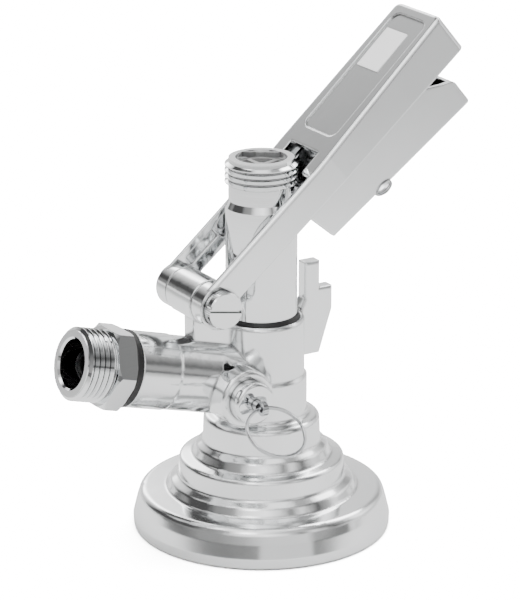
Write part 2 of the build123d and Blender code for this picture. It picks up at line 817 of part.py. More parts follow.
with BuildPart() as trigger:
    outline = profile(side_plane, [p for p, r in trigger_outline], [r for p, r in trigger_outline])
    extrude(outline, amount=trigger_half, both=True)
    extrude(profile(side_plane, trigger_hollow), amount=trigger_half - trigger_wall, both=True, mode=Mode.SUBTRACT)
    with BuildSketch(plan_plane.offset(screw_start_t + screw_proud + 0.6)):
        with Locations((screw_s, screw_y)):
            Circle(screw_r + 1.6)
    extrude(amount=screw_boss)
    with BuildSketch(plan_plane.offset(screw_start_t - 2)):
        with Locations((screw_s, screw_y)):
            Circle(screw_r + press_gap)
    extrude(amount=screw_boss + screw_proud + 4, mode=Mode.SUBTRACT)
    with BuildSketch(side_plane):
        with Locations((trigger_pivot_s, trigger_pivot_t)):
            Circle(trigger_pin_r + running_gap)
    extrude(amount=trigger_half + 1, both=True, mode=Mode.SUBTRACT)
    with BuildSketch(side_plane):
        with Locations((latch_s, latch_t)):
            Circle(latch_r + press_gap)
    extrude(amount=trigger_half - trigger_wall / 2, both=True, mode=Mode.SUBTRACT)
    trigger.part.label = "trigger"

with BuildPart() as trigger_pin:
    with BuildSketch(side_plane):
        with Locations((trigger_pivot_s, trigger_pivot_t)):
            Circle(trigger_pin_r)
    extrude(amount=lever_half - cam_floor - 0.05, both=True)
    trigger_pin.part.label = "trigger_pin"

with BuildPart() as latch_bar:
    with BuildSketch(side_plane):
        with Locations((latch_s, latch_t)):
            Circle(latch_r)
    extrude(amount=trigger_half - trigger_wall / 2, both=True)
    latch_bar.part.label = "latch_bar"

with BuildPart() as stop_screw:
    with BuildSketch(plan_plane.offset(screw_start_t)):
        with Locations((screw_s, screw_y)):
            Circle(screw_r)
    extrude(amount=screw_length)
    with BuildSketch(plan_plane.offset(screw_start_t)):
        with Locations((screw_s, screw_y)):
            RegularPolygon(screw_socket, 6)
    extrude(amount=2, mode=Mode.SUBTRACT)
    stop_screw.part.label = "stop_screw"

sleeve_top_t = deck_top(spring_s - sleeve_r) - lever_wall - 0.05
with BuildPart() as spring_sleeve:
    with BuildSketch(plan_plane.offset(sleeve_bottom_t)):
        with Locations((spring_s, 0)):
            Circle(sleeve_r)
    extrude(amount=sleeve_top_t - sleeve_bottom_t)
    with BuildSketch(plan_plane.offset(sleeve_bottom_t)):
        with Locations((spring_s, 0)):
            Circle(sleeve_r - sleeve_wall)
    extrude(amount=sleeve_top_t - sleeve_bottom_t - 1, mode=Mode.SUBTRACT)
    spring_sleeve.part.label = "spring_sleeve"

spring_foot_t = trigger_toe_t + trigger_wall + 0.5
trigger_coil, trigger_section = coil(
    hinge + along * spring_s + across * spring_foot_t,
    across,
    sleeve_top_t - 1.1 - spring_foot_t,
    trigger_spring_r,
    trigger_wire,
    12,
)
with BuildPart() as trigger_spring:
    with BuildSketch(trigger_section):
        Circle(trigger_wire / 2)
    sweep(path=trigger_coil)
    trigger_spring.part.label = "trigger_spring"

# ---- One STEP file for each piece ----------------------------------------------------------------------------
pieces = [
    body_casting,
    keg_seal,
    rod_seal,
    wiper_seal,
    hinge_pin,
    hinge_clip,
    inlet_washer,
    inlet_nipple,
    gas_check,
    relief_cap,
    relief_stem,
    relief_seal,
    relief_spring,
    pull_ring,
    probe_tube,
    trunnion_pins,
    tip_seal,
    tube_seal,
    beer_ball,
    ball_retainer,
    lever,
    label_plate,
    trigger,
    trigger_pin,
    latch_bar,
    stop_screw,
    spring_sleeve,
    trigger_spring,
]
os.makedirs("parts", exist_ok=True)
for piece in pieces:
    export_step(piece.part, f"parts/{piece.part.label}.step")
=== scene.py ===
# %% [markdown]
# # A keg coupler in chrome
# A keg coupler is pushed on to a keg and opened with its lever. Nearly all of it is a casting and turned
# parts in chrome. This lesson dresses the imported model: a studio first, then the finishes, then the few
# pieces that are better made here than in the source, such as coiled wire and knurling.

# %% Load the frame
import json
import math

import bmesh
import bpy
from mathutils import Matrix, Vector


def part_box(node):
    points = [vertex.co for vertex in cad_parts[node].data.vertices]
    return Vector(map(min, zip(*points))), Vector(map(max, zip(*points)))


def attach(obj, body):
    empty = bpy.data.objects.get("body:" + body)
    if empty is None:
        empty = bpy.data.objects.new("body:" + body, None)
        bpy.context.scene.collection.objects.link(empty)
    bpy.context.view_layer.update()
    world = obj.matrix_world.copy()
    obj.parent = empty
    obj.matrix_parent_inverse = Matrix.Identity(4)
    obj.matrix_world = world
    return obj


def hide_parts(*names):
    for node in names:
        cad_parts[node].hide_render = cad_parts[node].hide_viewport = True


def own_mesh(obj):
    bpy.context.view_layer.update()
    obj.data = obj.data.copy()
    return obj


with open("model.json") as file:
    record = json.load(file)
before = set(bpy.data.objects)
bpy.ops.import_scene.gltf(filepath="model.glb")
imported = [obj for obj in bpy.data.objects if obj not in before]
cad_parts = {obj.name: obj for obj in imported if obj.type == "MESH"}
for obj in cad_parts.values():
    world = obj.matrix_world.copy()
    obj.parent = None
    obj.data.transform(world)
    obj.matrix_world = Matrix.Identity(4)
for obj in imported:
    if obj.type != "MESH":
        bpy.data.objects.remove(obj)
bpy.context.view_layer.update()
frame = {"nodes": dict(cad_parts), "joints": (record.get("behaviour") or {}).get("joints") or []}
nodes = frame["nodes"]
MM = 0.001

# %% [markdown]
# ## The camera
# The coupler is seen from its front left and from a little above. A long lens keeps the steps of the bell
# parallel, so the camera stands about a metre away and aims at the middle of the probe.

# %% Camera
VIEW_TURN = math.radians(-31.0)
VIEW_RISE = math.radians(18.674)
VIEW_DISTANCE = 0.98693
AIM_HEIGHT = 0.074633
AIM_SIDE = -0.0004213
LENS = 217.96
SENSOR_WIDTH = 36
NEAREST = 0.01
FARTHEST = 50

back = Vector((
    math.sin(VIEW_TURN) * math.cos(VIEW_RISE),
    -math.cos(VIEW_TURN) * math.cos(VIEW_RISE),
    math.sin(VIEW_RISE),
))
side = Vector((math.cos(VIEW_TURN), math.sin(VIEW_TURN), 0))
camera_data = bpy.data.cameras.new("camera")
camera_data.sensor_fit = "HORIZONTAL"
camera_data.sensor_width = SENSOR_WIDTH
camera_data.lens = LENS
camera_data.clip_start = NEAREST
camera_data.clip_end = FARTHEST
camera = bpy.data.objects.new("camera", camera_data)
camera.location = Vector((0, 0, AIM_HEIGHT)) + side * AIM_SIDE + back * VIEW_DISTANCE
camera.rotation_euler = back.to_track_quat("Z", "Y").to_euler()
bpy.context.scene.collection.objects.link(camera)
bpy.context.scene.camera = camera
print("camera at", [round(v, 3) for v in camera.location])

# %% [markdown]
# ## Helpers
# The materials and trees below are built from a few small parts, so each part gets a function: an empty
# material, a mesh, a Math node, a grey ramp, a mix of two colours, and the direction in which a ray looks.

# %% Helpers
# A Mix node has its colour sockets after those for numbers and vectors, under the same names.
MIX_FIRST = 6
MIX_SECOND = 7
MIX_RESULT = 2


def new_material(name):
    """An empty node material with its output node."""
    material = bpy.data.materials.new(name)
    material.use_nodes = True
    tree = material.node_tree
    tree.nodes.clear()
    output = tree.nodes.new("ShaderNodeOutputMaterial")
    return material, tree, output


def new_mesh(name, points, faces):
    """A linked object made of points and faces."""
    mesh = bpy.data.meshes.new(name)
    mesh.from_pydata(points, [], faces)
    obj = bpy.data.objects.new(name, mesh)
    bpy.context.scene.collection.objects.link(obj)
    return obj


def number(tree, operation, first, second):
    """A Math node; each input is a number or a socket."""
    node = tree.nodes.new("ShaderNodeMath")
    node.operation = operation
    for slot, value in zip(node.inputs, (first, second)):
        if isinstance(value, (int, float)):
            slot.default_value = value
        else:
            tree.links.new(value, slot)
    return node.outputs[0]


def steps(tree, value, stops):
    """A ramp from a list of (place, level) stops, in grey."""
    node = tree.nodes.new("ShaderNodeValToRGB")
    ramp = node.color_ramp
    while len(ramp.elements) < len(stops):
        ramp.elements.new(0.5)
    for element, (place, level) in zip(ramp.elements, stops):
        element.position = place
        element.color = (level, level, level, 1)
    tree.links.new(value, node.inputs["Fac"])
    return node.outputs["Color"]


def mixed(tree, factor, first, second, blend_type="MIX"):
    """Two colours mixed; the factor is a number or a socket."""
    node = tree.nodes.new("ShaderNodeMix")
    node.data_type = "RGBA"
    node.blend_type = blend_type
    if isinstance(factor, (int, float)):
        node.inputs["Factor"].default_value = factor
    else:
        tree.links.new(factor, node.inputs["Factor"])
    tree.links.new(first, node.inputs[MIX_FIRST])
    tree.links.new(second, node.inputs[MIX_SECOND])
    return node.outputs[MIX_RESULT]


def around(tree, vector):
    """A direction's turn and its height, as two sockets.

    The turn is 0 and 1 at -X, 0.25 at -Y, 0.5 at +X and 0.75 at +Y. The height is the sine of the elevation.
    """
    parts = tree.nodes.new("ShaderNodeSeparateXYZ")
    tree.links.new(vector, parts.inputs["Vector"])
    turn = number(tree, "ARCTAN2", parts.outputs["Y"], parts.outputs["X"])
    return number(tree, "ADD", number(tree, "MULTIPLY", turn, 0.5 / math.pi), 0.5), parts.outputs["Z"]


# %% [markdown]
# ## The studio
# Chrome has hardly any colour of its own and shows what stands around it, so the room matters more than the
# lamp. It starts with the floor. The camera sees the floor as plain white, while the metal sees a pale disc
# painted on it, a painted pool of light that darkens away from the coupler.

# %% Floor
FLOOR_SIZE = 6.0
FLOOR_GLOW = 9.0
# Painted pool of light: each stop is a distance from the middle in metres and the grey that the metal sees
# there.
FLOOR_LIGHT_POOL = [(0.0, 0.74), (0.30, 0.70), (0.40, 0.55), (0.60, 0.40), (1.0, 0.40)]

half = FLOOR_SIZE / 2
corners = [(-half, -half, 0), (half, -half, 0), (half, half, 0), (-half, half, 0)]
floor = new_mesh("floor", corners, [(0, 1, 2, 3)])
floor_material, tree, output = new_material("white_floor")
seen_by_metal = tree.nodes.new("ShaderNodeBsdfDiffuse")
where = tree.nodes.new("ShaderNodeTexCoord")
distance = tree.nodes.new("ShaderNodeVectorMath")
distance.operation = "LENGTH"
tree.links.new(where.outputs["Object"], distance.inputs[0])
tree.links.new(steps(tree, distance.outputs["Value"], FLOOR_LIGHT_POOL), seen_by_metal.inputs["Color"])
seen_by_camera = tree.nodes.new("ShaderNodeBsdfDiffuse")
seen_by_camera.inputs["Color"].default_value = (FLOOR_GLOW, FLOOR_GLOW, FLOOR_GLOW, 1)
ray = tree.nodes.new("ShaderNodeLightPath")
choose = tree.nodes.new("ShaderNodeMixShader")
tree.links.new(ray.outputs["Is Camera Ray"], choose.inputs["Fac"])
tree.links.new(seen_by_metal.outputs["BSDF"], choose.inputs[1])
tree.links.new(seen_by_camera.outputs["BSDF"], choose.inputs[2])
tree.links.new(choose.outputs["Shader"], output.inputs["Surface"])
floor.data.materials.append(floor_material)
print("floor:", FLOOR_SIZE, "m square")

# %% [markdown]
# The room is six rings of wall, one above the other, each with its own brightness all the way round. Low
# down stand two dark screens with clean edges, which become the dark band on the skirt. Higher up the
# changes are slow. A World shader can hold this, because the metal only asks which direction it looks in.

# %% Room
DARK = 0.17
WALL_STRENGTH = 1.15
# Each stop is a turn and the brightness of the wall there.
SCREENS = [(0.0, DARK), (0.155, DARK), (0.165, 1.0), (0.285, 1.0), (0.295, DARK), (0.395, DARK),
           (0.41, 1.3), (0.87, 1.3), (0.89, DARK), (1.0, DARK)]
LOW_WALL = [(0.0, 0.38), (0.06, 0.36), (0.12, 0.55), (0.17, 1.0), (0.28, 1.1), (0.30, 0.5), (0.36, 0.42),
            (0.40, 0.9), (0.43, 1.2), (0.50, 0.85), (0.62, 1.0), (0.67, 1.5), (0.72, 1.1), (0.78, 0.9),
            (0.81, 0.1), (0.87, 0.35), (0.92, 0.2), (1.0, 0.35)]
MIDDLE_WALL = [(0.0, 0.3), (0.06, 0.4), (0.11, 1.6), (0.18, 2.2), (0.23, 1.3), (0.27, 0.25), (0.31, 1.4),
               (0.34, 0.6), (0.37, 0.1), (0.42, 0.6), (0.46, 2.4), (0.53, 1.3), (0.58, 0.4), (0.67, 1.3),
               (0.72, 6.0), (0.75, 1.5), (0.79, 0.6), (0.82, 0.07), (0.97, 0.08), (1.0, 0.3)]
HIGH_WALL = [(0.0, 0.3), (0.07, 0.5), (0.12, 6.0), (0.16, 1.8), (0.22, 0.9), (0.33, 0.5), (0.38, 0.15),
             (0.43, 0.4), (0.48, 1.4), (0.58, 8.0), (0.65, 4.0), (0.72, 0.1), (0.81, 0.08), (0.84, 0.7),
             (0.87, 1.1), (0.91, 0.15), (1.0, 0.3)]
UPPER_WALL = [(0.0, 0.9), (0.10, 3.0), (0.25, 0.9), (0.37, 0.5), (0.50, 0.5), (0.60, 0.6), (0.72, 0.2),
              (0.82, 0.2), (0.90, 4.0), (0.95, 4.0), (1.0, 0.9)]
CEILING = [(0.0, 1.9), (1.0, 1.9)]
# Each ring starts where the sine of the elevation passes from the first number to the second.
RINGS = [(LOW_WALL, 0.080, 0.088), (MIDDLE_WALL, 0.22, 0.28), (HIGH_WALL, 0.60, 0.66),
         (UPPER_WALL, 0.80, 0.86), (CEILING, 0.93, 0.96)]
world = bpy.data.worlds.new("studio")
bpy.context.scene.world = world
world.use_nodes = True
tree = world.node_tree
tree.nodes.clear()
sky_output = tree.nodes.new("ShaderNodeOutputWorld")
sky = tree.nodes.new("ShaderNodeBackground")
sky.inputs["Strength"].default_value = WALL_STRENGTH
where = tree.nodes.new("ShaderNodeTexCoord")
direction, height = around(tree, where.outputs["Generated"])
wall = steps(tree, direction, SCREENS)
for stops, start, end in RINGS:
    passed = steps(tree, height, [(start, 0.0), (end, 1.0)])
    wall = mixed(tree, passed, wall, steps(tree, direction, stops))
tree.links.new(wall, sky.inputs["Color"])
tree.links.new(sky.outputs["Background"], sky_output.inputs["Surface"])
print("rings of wall:", 1 + len(RINGS))
# %% [markdown]
# One lamp hangs nearly overhead and lays the shadow on the floor. It is hidden from reflections, so that
# the metal shows the walls alone.

# %% Lamp
LAMP_RISE = math.radians(88)
LAMP_DISTANCE = 1.6
LAMP_SIZE = 1.4
LAMP_POWER = 30
LAMP_AIM = 0.08
lamp = bpy.data.lights.new("top_box", "AREA")
lamp.shape = "RECTANGLE"
lamp.size = LAMP_SIZE
lamp.size_y = LAMP_SIZE
lamp.energy = LAMP_POWER
away = Vector((0, -math.cos(LAMP_RISE), math.sin(LAMP_RISE)))
top_box = bpy.data.objects.new("top_box", lamp)
top_box.location = Vector((0, 0, LAMP_AIM)) + away * LAMP_DISTANCE
top_box.rotation_euler = away.to_track_quat("Z", "Y").to_euler()
top_box.visible_glossy = False
bpy.context.scene.collection.objects.link(top_box)
print("lamp at", [round(v, 3) for v in top_box.location])

# %% [markdown]
# ## The finishes
# Everything is bare metal, rubber or plastic. Each finish starts from the same few nodes: a noise on Object
# coordinates that shifts the roughness a little, as handling and polishing do, and a finer one for bump.
# Cast and pressed pieces also get softened edges, and metal gets painted shade: its colour is made darker
# where faces meet. Both are shading alone: the meshes keep their sharp edges.

# %% Finish helper
PATCH_SCALE = 60
PATCH_DETAIL = 4
RELIEF_DETAIL = 3
LEAST_ROUGH = 0.02
TONE_START = 0.35
TONE_END = 0.65
EDGE_SAMPLES = 6
CREVICE_SAMPLES = 6
# Painted shade: the AO value, from open to enclosed, becomes a colour that darkens towards black where faces
# meet.
CREVICE_SHADE_TONE = [(0.40, 0.16), (0.70, 0.6), (0.90, 1.0)]
# Under the turned height the bump falls to a share of its strength, from this share of the height down.
TURNED_START = 0.8
TURNED_BUMP = 0.1


def finish(name, colour, metallic, rough, spread, bump_height, bump_scale, stretch=(1, 1, 1), shade=0.03,
           edge=0, turned_below=0, crevice_shade=0):
    """A metal, rubber or plastic finish with uneven gloss, fine relief and, if asked, softened edges and
    painted shade in crevices.
    """
    material, tree, output = new_material(name)
    shader = tree.nodes.new("ShaderNodeBsdfPrincipled")
    shader.inputs["Metallic"].default_value = metallic
    where = tree.nodes.new("ShaderNodeTexCoord")
    mapping = tree.nodes.new("ShaderNodeMapping")
    mapping.inputs["Scale"].default_value = stretch
    tree.links.new(where.outputs["Object"], mapping.inputs["Vector"])
    patches = tree.nodes.new("ShaderNodeTexNoise")
    patches.inputs["Scale"].default_value = PATCH_SCALE
    patches.inputs["Detail"].default_value = PATCH_DETAIL
    tree.links.new(where.outputs["Object"], patches.inputs["Vector"])
    gloss = tree.nodes.new("ShaderNodeMapRange")
    gloss.inputs["To Min"].default_value = max(LEAST_ROUGH, rough - spread)
    gloss.inputs["To Max"].default_value = rough + spread
    tree.links.new(patches.outputs["Fac"], gloss.inputs["Value"])
    tree.links.new(gloss.outputs["Result"], shader.inputs["Roughness"])
    tone = tree.nodes.new("ShaderNodeValToRGB")
    tone.color_ramp.elements[0].position = TONE_START
    tone.color_ramp.elements[1].position = TONE_END
    tone.color_ramp.elements[0].color = (*[c * (1 - shade) for c in colour], 1)
    tone.color_ramp.elements[1].color = (*colour, 1)
    tree.links.new(patches.outputs["Fac"], tone.inputs["Fac"])
    colour_socket = tone.outputs["Color"]
    # Painted shade: the colour is multiplied darker where the AO node finds faces close by, in creases and
    # thread roots.
    if crevice_shade:
        near = tree.nodes.new("ShaderNodeAmbientOcclusion")
        near.samples = CREVICE_SAMPLES
        near.inputs["Distance"].default_value = crevice_shade
        painted_shade = steps(tree, near.outputs["AO"], CREVICE_SHADE_TONE)
        colour_socket = mixed(tree, 1, colour_socket, painted_shade, "MULTIPLY")
    tree.links.new(colour_socket, shader.inputs["Base Color"])
    relief = tree.nodes.new("ShaderNodeTexNoise")
    relief.inputs["Scale"].default_value = bump_scale
    relief.inputs["Detail"].default_value = RELIEF_DETAIL
    tree.links.new(mapping.outputs["Vector"], relief.inputs["Vector"])
    bump = tree.nodes.new("ShaderNodeBump")
    bump.inputs["Strength"].default_value = 1.0
    bump.inputs["Distance"].default_value = bump_height
    tree.links.new(relief.outputs["Fac"], bump.inputs["Height"])
    if turned_below:
        parts = tree.nodes.new("ShaderNodeSeparateXYZ")
        tree.links.new(where.outputs["Object"], parts.inputs["Vector"])
        turned_stops = [(turned_below * TURNED_START, TURNED_BUMP), (turned_below, 1.0)]
        rise = steps(tree, parts.outputs["Z"], turned_stops)
        tree.links.new(rise, bump.inputs["Strength"])
    if edge:
        soft_edge = tree.nodes.new("ShaderNodeBevel")
        soft_edge.samples = EDGE_SAMPLES
        soft_edge.inputs["Radius"].default_value = edge
        tree.links.new(soft_edge.outputs["Normal"], bump.inputs["Normal"])
    tree.links.new(bump.outputs["Normal"], shader.inputs["Normal"])
    tree.links.new(shader.outputs["BSDF"], output.inputs["Surface"])
    return material


# %% [markdown]
# Cast chrome is the roughest of the metals and is turned smooth below the skirt's shoulder. Turned chrome is
# the glossiest, and its bump is stretched into faint rings. Each finish then goes to its pieces by name.

# %% Finishes
CHROME = (0.84, 0.85, 0.855)
STEEL = (0.55, 0.56, 0.57)
RUBBER = (0.004, 0.004, 0.0045)
PLASTIC = (0.30, 0.30, 0.30)
LABEL = (0.97, 0.97, 0.97)
SHOULDER = 12.5 * MM
cast_chrome = finish("cast_chrome", CHROME, metallic=1, rough=0.12, spread=0.03, bump_height=0.12 * MM,
                     bump_scale=110, edge=0.9 * MM, turned_below=SHOULDER, crevice_shade=1.2 * MM)
turned_chrome = finish("turned_chrome", CHROME, metallic=1, rough=0.05, spread=0.02, bump_height=0.008 * MM,
                       bump_scale=90, stretch=(1, 1, 14), crevice_shade=0.6 * MM)
pressed_chrome = finish("pressed_chrome", CHROME, metallic=1, rough=0.10, spread=0.03, bump_height=0.03 * MM,
                        bump_scale=60, edge=0.8 * MM, crevice_shade=1.2 * MM)
plain_steel = finish("plain_steel", STEEL, metallic=1, rough=0.1, spread=0.04, bump_height=0.01 * MM,
                     bump_scale=400, crevice_shade=1.0 * MM)
black_rubber = finish("black_rubber", RUBBER, metallic=0, rough=0.5, spread=0.1, bump_height=0.02 * MM,
                      bump_scale=900, shade=0.3)
grey_plastic = finish("grey_plastic", PLASTIC, metallic=0, rough=0.3, spread=0.05, bump_height=0.01 * MM,
                      bump_scale=500)
blank_label = finish("blank_label", LABEL, metallic=0, rough=0.35, spread=0.05, bump_height=0.01 * MM,
                     bump_scale=700)

FINISHES = {
    cast_chrome: ["body_casting"],
    pressed_chrome: ["lever", "trigger"],
    turned_chrome: ["probe_tube", "inlet_nipple", "relief_cap", "hinge_pin"],
    plain_steel: ["hinge_clip", "relief_stem", "relief_spring", "pull_ring", "trunnion_pins", "trigger_pin",
                  "latch_bar", "stop_screw", "spring_sleeve", "trigger_spring"],
    black_rubber: ["keg_seal", "rod_seal", "wiper_seal", "inlet_washer", "gas_check", "relief_seal",
                   "tip_seal", "tube_seal"],
    grey_plastic: ["beer_ball", "ball_retainer"],
    blank_label: ["label_plate"],
}
for material, names in FINISHES.items():
    for name in names:
        nodes[name].data.materials.clear()
        nodes[name].data.materials.append(material)
print("finishes:", len(FINISHES), "on", sum(len(names) for names in FINISHES.values()), "nodes")

# %% [markdown]
# ## Wire and ridges by rule
# Coiled wire, the split ring and the knurling on the pin's head each repeat one simple thing along a path.
# A Geometry Nodes tree says that rule once, with its sizes as inputs, and each piece is baked from it to a
# plain mesh before it takes its place on the coupler.

# %% Trees
SOCKETS = {float: "NodeSocketFloat", int: "NodeSocketInt"}


def start_tree(name, sizes):
    """A tree with named number inputs, its input node, and its end: Realize Instances, then Set Material."""
    tree = bpy.data.node_groups.new(name, "GeometryNodeTree")
    tree.interface.new_socket("Geometry", in_out="INPUT", socket_type="NodeSocketGeometry")
    for label, value in sizes.items():
        socket = tree.interface.new_socket(label, in_out="INPUT", socket_type=SOCKETS[type(value)])
        socket.default_value = value
    tree.interface.new_socket("Material", in_out="INPUT", socket_type="NodeSocketMaterial")
    tree.interface.new_socket("Geometry", in_out="OUTPUT", socket_type="NodeSocketGeometry")
    given = tree.nodes.new("NodeGroupInput")
    result = tree.nodes.new("NodeGroupOutput")
    real = tree.nodes.new("GeometryNodeRealizeInstances")
    coat = tree.nodes.new("GeometryNodeSetMaterial")
    tree.links.new(real.outputs["Geometry"], coat.inputs["Geometry"])
    tree.links.new(given.outputs["Material"], coat.inputs["Material"])
    tree.links.new(coat.outputs["Geometry"], result.inputs["Geometry"])
    return tree, given, real


def bake(name, tree, material, place, **sizes):
    """Runs a tree with these sizes, keeps its mesh, and puts the mesh at its place."""
    obj = new_mesh(name, [], [])
    modifier = obj.modifiers.new("shape", "NODES")
    modifier.node_group = tree
    names = {s.name: s.identifier for s in tree.interface.items_tree if s.in_out == "INPUT"}
    for label, value in sizes.items():
        modifier[names[label.replace("_", " ").capitalize()]] = value
    modifier[names["Material"]] = material
    bpy.context.view_layer.update()
    shaped = obj.evaluated_get(bpy.context.evaluated_depsgraph_get())
    mesh = bpy.data.meshes.new_from_object(shaped)
    obj.modifiers.remove(modifier)
    obj.data = mesh
    mesh.transform(place)
    mesh.update()
    print(name, len(mesh.polygons), "faces")
    return obj

# %% [markdown]
# The first tree sweeps a round wire along a spiral that keeps its radius. Both springs and the pull ring
# are made by it.

# %% The coil
COIL_STEPS = 48
WIRE_SIDES = 14
coil, given, real = start_tree("coil", {"Radius": 3 * MM, "Wire": 0.5 * MM, "Turns": 5.0, "Length": 10 * MM})
spiral = coil.nodes.new("GeometryNodeCurveSpiral")
spiral.inputs["Resolution"].default_value = COIL_STEPS
for label, source in (("Rotations", "Turns"), ("Start Radius", "Radius"), ("End Radius", "Radius"),
                      ("Height", "Length")):
    coil.links.new(given.outputs[source], spiral.inputs[label])
round_wire = coil.nodes.new("GeometryNodeCurvePrimitiveCircle")
round_wire.inputs["Resolution"].default_value = WIRE_SIDES
round_wire.inputs["Resolution"].default_value = 14
coil.links.new(number(coil, "MULTIPLY", given.outputs["Wire"], 0.5), round_wire.inputs["Radius"])
sweep = coil.nodes.new("GeometryNodeCurveToMesh")
sweep.inputs["Fill Caps"].default_value = True
coil.links.new(spiral.outputs["Curve"], sweep.inputs["Curve"])
coil.links.new(round_wire.outputs["Curve"], sweep.inputs["Profile Curve"])
coil.links.new(sweep.outputs["Mesh"], real.inputs["Geometry"])
print("coil tree:", len(coil.nodes), "nodes")

# %% [markdown]
# The second tree stands one small bar on each point of a circle and turns it outward. It makes the knurling.

# %% The ridges
ridges, given, real = start_tree("ridges", {"Count": 48, "Radius": 5 * MM, "Depth": 0.3 * MM,
                                            "Width": 0.4 * MM, "Length": 3 * MM})
ring = ridges.nodes.new("GeometryNodeMeshCircle")
ridges.links.new(given.outputs["Count"], ring.inputs["Vertices"])
ridges.links.new(given.outputs["Radius"], ring.inputs["Radius"])
size = ridges.nodes.new("ShaderNodeCombineXYZ")
for axis, source in zip("XYZ", ("Depth", "Width", "Length")):
    ridges.links.new(given.outputs[source], size.inputs[axis])
bar = ridges.nodes.new("GeometryNodeMeshCube")
ridges.links.new(size.outputs["Vector"], bar.inputs["Size"])
point = ridges.nodes.new("GeometryNodeInputPosition")
outward = ridges.nodes.new("FunctionNodeAlignRotationToVector")
outward.axis = "X"
ridges.links.new(point.outputs["Position"], outward.inputs["Vector"])
repeat = ridges.nodes.new("GeometryNodeInstanceOnPoints")
ridges.links.new(ring.outputs["Mesh"], repeat.inputs["Points"])
ridges.links.new(bar.outputs["Mesh"], repeat.inputs["Instance"])
ridges.links.new(outward.outputs["Rotation"], repeat.inputs["Rotation"])
ridges.links.new(repeat.outputs["Instances"], real.inputs["Geometry"])
print("ridges tree:", len(ridges.nodes), "nodes")


# %% [markdown]
# Each piece is made round the Z axis and then turned to its own axis on the coupler. The joints say where
# the moving pieces turn and how far they go.

# %% Placing by an axis
def facing(centre, axis):
    """The matrix that turns +Z to an axis and moves the origin to a centre."""
    return Matrix.Translation(centre) @ Vector(axis).to_track_quat("Z", "Y").to_matrix().to_4x4()


def smooth(obj):
    """Shades every face smoothly."""
    obj.data.polygons.foreach_set("use_smooth", [True] * len(obj.data.polygons))


joints = {joint["name"]: joint for joint in frame["joints"]}
print("joints:", ", ".join(sorted(joints)))

# %% [markdown]
# ## The pull ring
# The ring through the relief valve's eye is a split ring: two turns of springy wire lying on each other.
# The solid is one closed ring, so this piece replaces it.

# %% Pull ring
RING_LEAN = math.radians(56)
RING_RADIUS = 9.3 * MM
RING_WIRE = 0.95 * MM
RING_TURNS = 1.98
eye = Vector(joints["ring_swing"]["pos_m"])
ring_out = Vector((0, -math.sin(RING_LEAN), -math.cos(RING_LEAN)))
ring_normal = Vector((0, -math.cos(RING_LEAN), math.sin(RING_LEAN)))
ring_place = facing(eye + ring_out * RING_RADIUS, ring_normal) @ Matrix.Translation((0, 0, -RING_WIRE / 2))
split_ring = bake("split_ring", coil, plain_steel, ring_place, radius=RING_RADIUS, wire=RING_WIRE,
                  turns=RING_TURNS, length=RING_WIRE)
smooth(split_ring)
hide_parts("pull_ring")
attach(split_ring, "ring")

# %% [markdown]
# ## The springs
# Both springs are round wire on a helix, cut off square at their ends. The same tree makes them, with more
# turns on a smaller circle. Each takes the place, the length and the width of the rougher solid.

# %% Springs
def spring(name, node, body, centre, way, length, wide, wire, turns):
    """A coil round an axis through a centre, in place of a node."""
    start = facing(centre - way * (length - wire) / 2, way)
    piece = bake(name, coil, plain_steel, start, radius=(wide - wire) / 2, wire=wire, turns=turns,
                 length=length - wire)
    smooth(piece)
    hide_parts(node)
    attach(piece, body)
    return piece


RELIEF_WIRE = 0.7 * MM
RELIEF_TURNS = 4.0
low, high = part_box("relief_spring")
relief_long = high.y - low.y
relief_coil = spring("relief_coil", "relief_spring", "housing", (low + high) / 2, Vector((0, -1, 0)),
                     relief_long, high.x - low.x, RELIEF_WIRE, RELIEF_TURNS)
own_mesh(relief_coil)

LEVER_RISE = math.radians(40)
TRIGGER_WIRE = 0.5 * MM
TRIGGER_TURNS = 12.0
TRIGGER_COIL_WIDE = 3.5 * MM
lever_along = Vector((math.cos(LEVER_RISE), 0, math.sin(LEVER_RISE)))
lever_across = Vector((-math.sin(LEVER_RISE), 0, math.cos(LEVER_RISE)))
low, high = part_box("trigger_spring")
coil_length = (high.z - low.z - TRIGGER_COIL_WIDE * lever_along.z) / lever_across.z
coil_middle = (low + high) / 2
trigger_coil = spring("trigger_coil", "trigger_spring", "handle", coil_middle, lever_across, coil_length,
                      TRIGGER_COIL_WIDE, TRIGGER_WIRE, TRIGGER_TURNS)
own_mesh(trigger_coil)

# %% [markdown]
# ## The stop screw
# A thread this small reads as a stack of rings, so the piece is one ridged outline turned round its axis,
# with a thin shank above it inside the trigger. It replaces the plain screw of the model, but stands nearer
# the trigger's side and is a little thicker, so it passes through the side's wall and the model's own hole
# stays partly open. The model's screw still takes the collisions.

# %% Screw
SCREW_RADIUS = 3.4 * MM
SCREW_PITCH = 0.7 * MM
SCREW_THREAD = 0.4 * MM
SCREW_RINGS = 3
SCREW_SHANK = 1.2 * MM
SCREW_LONG = 9.0 * MM
SCREW_SIDE = -8.8 * MM
# One ring of thread, as shares of the pitch: its crest's start and end, and the root after it.
CREST_START = 0.35
CREST_END = 0.55
ROOT_START = 0.95
TURN_STEPS = 64


def turned(name, outline, place):
    """A closed solid made by turning (radius, height) points, which start and end on the axis."""
    mesh = bmesh.new()
    foot = mesh.verts.new((0, 0, outline[0][1]))
    top = mesh.verts.new((0, 0, outline[-1][1]))
    rings = [[mesh.verts.new((radius * math.cos(turn), radius * math.sin(turn), height))
              for turn in (2 * math.pi * step / TURN_STEPS for step in range(TURN_STEPS))]
             for radius, height in outline[1:-1]]
    for step in range(TURN_STEPS):
        following = (step + 1) % TURN_STEPS
        mesh.faces.new((foot, rings[0][following], rings[0][step]))
        mesh.faces.new((top, rings[-1][step], rings[-1][following]))
        for lower, upper in zip(rings, rings[1:]):
            mesh.faces.new((lower[step], lower[following], upper[following], upper[step]))
    obj = new_mesh(name, [], [])
    mesh.transform(place)
    mesh.to_mesh(obj.data)
    mesh.free()
    return obj


